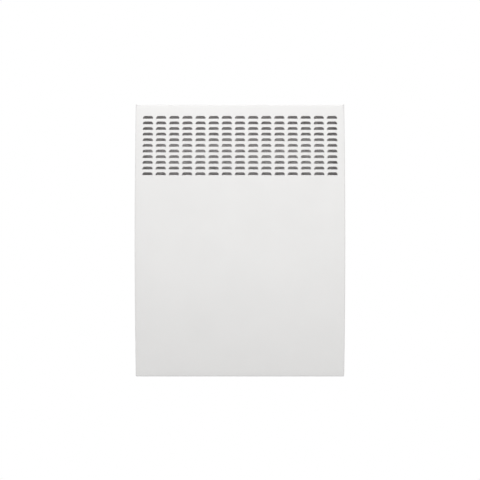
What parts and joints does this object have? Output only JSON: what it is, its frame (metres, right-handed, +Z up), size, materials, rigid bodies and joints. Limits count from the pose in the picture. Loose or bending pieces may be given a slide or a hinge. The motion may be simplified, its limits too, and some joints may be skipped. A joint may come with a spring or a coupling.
{
  "type": "convector heater",
  "caption": "Slim wall-hung convector heater: bowed white steel casing with a grid of lanced louvres, finned element and side controls, hung on a wall bracket.",
  "frame": {"origin": "on the wall plane, at the centre of the wall bracket's four screw holes", "axes": "+X to the right as seen from the room, +Y into the wall, +Z up; the front faces -Y"},
  "size_m": [0.346, 0.0979, 0.4515],
  "materials": {
    "casing_paint": "satin white powder coat",
    "galvanised_sheet": "galvanised sheet steel with a soft spangle",
    "bracket_paint": "satin light grey powder coat",
    "zinc_steel": "bright zinc plate",
    "fin_aluminium": "as-cast aluminium",
    "sheath_steel": "heat-darkened steel",
    "ceramic": "unglazed steatite ceramic",
    "tag_brass": "stamped brass",
    "black_moulding": "moulded heat-resistant plastic",
    "black_rubber": "matt rubber",
    "housing_grey": "fine-grained moulded plastic",
    "fascia_grey": "fine-grained moulded plastic",
    "board_green": "solder-masked board",
    "component_black": "moulded component case",
    "capacitor_yellow": "dipped component case",
    "knob_white": "moulded satin plastic",
    "slider_dark": "moulded plastic",
    "lens_amber": "tinted clear plastic",
    "nylon": "natural nylon",
    "outlet_grey": "moulded plastic",
    "lead_brown": "silicone-covered wire",
    "lead_blue": "silicone-covered wire",
    "lead_green_yellow": "silicone-covered wire",
    "lead_grey": "vinyl-covered wire"
  },
  "bodies": {
    "bracket": {"bracket_upright_left": "bracket_paint", "bracket_upright_right": "bracket_paint", "bracket_crossbar_upper": "bracket_paint", "bracket_crossbar_lower": "bracket_paint", "bracket_rivets": "zinc_steel"},
    "heater": {"front_casing": "casing_paint", "back_panel": "galvanised_sheet", "casing_screws": "zinc_steel", "air_deflector": "galvanised_sheet", "deflector_screws": "zinc_steel", "element_casting": "fin_aluminium", "element_rod": "sheath_steel", "element_insulators": "ceramic", "element_bracket_left": "galvanised_sheet", "element_bracket_right": "galvanised_sheet", "element_bracket_screws": "zinc_steel", "element_tags": "tag_brass", "thermal_cutout": "black_moulding", "cutout_screws": "zinc_steel", "control_bulkhead": "galvanised_sheet", "bulkhead_screws": "zinc_steel", "lead_grommet": "black_rubber", "control_housing": "housing_grey", "control_screws": "zinc_steel", "control_fascia": "fascia_grey", "circuit_board": "board_green", "board_screws": "zinc_steel", "relay": "component_black", "capacitor": "capacitor_yellow", "potentiometer": "component_black", "mode_switch": "component_black", "rocker_switch": "black_moulding", "pilot_lamp": "lens_amber", "pilot_lens": "lens_amber", "control_connector": "nylon", "terminal_block": "nylon", "terminal_inserts": "tag_brass", "terminal_screws": "zinc_steel", "cord_outlet": "outlet_grey", "cord_bush": "black_rubber", "outlet_screws": "zinc_steel", "earth_terminal": "tag_brass", "room_sensor": "black_moulding", "sensor_clip": "nylon", "lead_live": "lead_brown", "lead_switched": "lead_brown", "lead_element": "lead_blue", "lead_neutral": "lead_blue", "lead_cutout": "lead_brown", "lead_earth": "lead_green_yellow", "lead_sensor": "lead_grey"},
    "knob": {"thermostat_knob": "knob_white", "thermostat_spindle": "zinc_steel"},
    "selector": {"mode_slider": "slider_dark"},
    "rocker": {"power_rocker": "knob_white"},
    "lock_left": {"lock_left": "outlet_grey"},
    "lock_right": {"lock_right": "outlet_grey"}
  },
  "joints": [
    {"name": "heater_lift", "type": "slide", "parent": "bracket", "child": "heater", "axis": [0, 0, 1], "range_m": [0, 0.01]},
    {"name": "thermostat_turn", "type": "hinge", "parent": "heater", "child": "knob", "pos_m": [0.1635, -0.0544, 0.06604], "axis": [-1, 0, 0], "range_deg": [0, 270]},
    {"name": "mode_slide", "type": "slide", "parent": "heater", "child": "selector", "axis": [0, 0, 1], "range_m": [0, 0.012]},
    {"name": "power_rock", "type": "hinge", "parent": "heater", "child": "rocker", "pos_m": [0.1575, -0.0544, -0.00296], "axis": [0, -1, 0], "range_deg": [0, 18]},
    {"name": "lock_left_turn", "type": "hinge", "parent": "bracket", "child": "lock_left", "pos_m": [-0.055, -0.0095, 0.172], "axis": [0, 0, -1], "range_deg": [0, 90]},
    {"name": "lock_right_turn", "type": "hinge", "parent": "bracket", "child": "lock_right", "pos_m": [0.055, -0.0095, 0.172], "axis": [0, 0, 1], "range_deg": [0, 90]}
  ]
}
